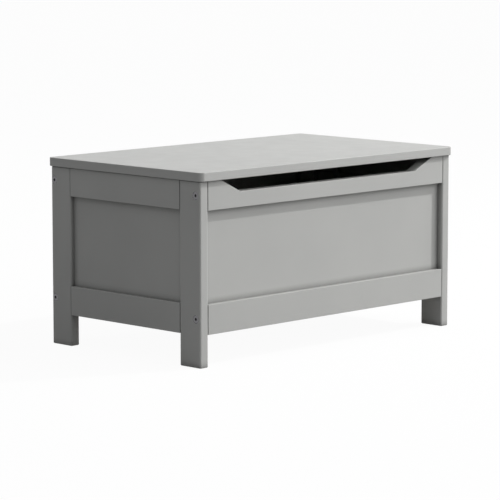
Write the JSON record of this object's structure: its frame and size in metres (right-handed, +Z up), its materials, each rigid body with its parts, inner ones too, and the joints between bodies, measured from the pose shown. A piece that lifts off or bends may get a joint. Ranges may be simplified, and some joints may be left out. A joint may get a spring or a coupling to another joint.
{
  "type": "wooden toy box",
  "caption": "Rectangular wooden storage box for toys on flat upright legs, with framed panels, a long hand slot in the front rail and a hinged lid on folding stays.",
  "frame": {"origin": "on the floor, under the centre of the box", "axes": "+Z up, -Y towards the front with the hand slot, +X towards the right-hand side seen from the front"},
  "size_m": [0.808, 0.48, 0.4132],
  "materials": {
    "painted_wood": "smooth pale grey satin paint over board",
    "plain_wood": "plain sanded softwood",
    "bolt_steel": "dark plated steel",
    "plated_steel": "zinc plated steel",
    "soft_pad": "soft translucent pad"
  },
  "bodies": {
    "case": {"back_bottom_rail": "painted_wood", "back_cleat": "plain_wood", "back_panel": "painted_wood", "back_top_rail": "painted_wood", "barrel_nuts": "plated_steel", "case_bolts": "bolt_steel", "cleat_screws": "plated_steel", "floor_panel": "painted_wood", "front_bottom_rail": "painted_wood", "front_cleat": "plain_wood", "front_panel": "painted_wood", "front_top_rail": "painted_wood", "hinge_case_screws": "plated_steel", "left_bottom_rail": "painted_wood", "left_cleat": "plain_wood", "left_hinge_case_leaf": "plated_steel", "left_hinge_pin": "plated_steel", "left_lid_bumper": "soft_pad", "left_panel": "painted_wood", "left_stay_case_bracket": "plated_steel", "left_stay_case_rivet": "plated_steel", "left_top_rail": "painted_wood", "leg_back_left": "painted_wood", "leg_back_right": "painted_wood", "leg_front_left": "painted_wood", "leg_front_right": "painted_wood", "rail_dowels": "plain_wood", "right_bottom_rail": "painted_wood", "right_cleat": "plain_wood", "right_hinge_case_leaf": "plated_steel", "right_hinge_pin": "plated_steel", "right_lid_bumper": "soft_pad", "right_panel": "painted_wood", "right_stay_case_bracket": "plated_steel", "right_stay_case_rivet": "plated_steel", "right_top_rail": "painted_wood", "side_frame_dowels": "plain_wood", "stay_case_screws": "plated_steel"},
    "lid": {"hinge_lid_screws": "plated_steel", "left_hinge_lid_leaf": "plated_steel", "left_stay_lid_bracket": "plated_steel", "left_stay_lid_rivet": "plated_steel", "lid_board": "painted_wood", "right_hinge_lid_leaf": "plated_steel", "right_stay_lid_bracket": "plated_steel", "right_stay_lid_rivet": "plated_steel", "stay_lid_screws": "plated_steel"},
    "left_lower_arm": {"left_stay_lower_arm": "plated_steel"},
    "left_upper_arm": {"left_stay_upper_arm": "plated_steel", "left_stay_knee_rivet": "plated_steel"},
    "right_lower_arm": {"right_stay_lower_arm": "plated_steel"},
    "right_upper_arm": {"right_stay_upper_arm": "plated_steel", "right_stay_knee_rivet": "plated_steel"}
  },
  "joints": [
    {"name": "lid_hinge", "type": "hinge", "parent": "case", "child": "lid", "pos_m": [0, 0.2361, 0.3909], "axis": [-1, 0, 0], "range_deg": [0, 100]},
    {"name": "left_case_pivot", "type": "hinge", "parent": "case", "child": "left_lower_arm", "pos_m": [-0.3767, 0.19009, 0.27575], "axis": [-1, 0, 0], "range_deg": [0, 100]},
    {"name": "left_lid_pivot", "type": "hinge", "parent": "lid", "child": "left_upper_arm", "pos_m": [-0.3744, 0.11241, 0.3822], "axis": [-1, 0, 0], "range_deg": [-100, 0]},
    {"name": "right_case_pivot", "type": "hinge", "parent": "case", "child": "right_lower_arm", "pos_m": [0.3767, 0.19009, 0.27575], "axis": [-1, 0, 0], "range_deg": [0, 100]},
    {"name": "right_lid_pivot", "type": "hinge", "parent": "lid", "child": "right_upper_arm", "pos_m": [0.3744, 0.11241, 0.3822], "axis": [-1, 0, 0], "range_deg": [-100, 0]}
  ],
  "couplings": [
    {"joint": "left_case_pivot", "follows": "lid_hinge", "ratio": 1},
    {"joint": "left_lid_pivot", "follows": "lid_hinge", "ratio": -1},
    {"joint": "right_case_pivot", "follows": "lid_hinge", "ratio": 1},
    {"joint": "right_lid_pivot", "follows": "lid_hinge", "ratio": -1}
  ]
}
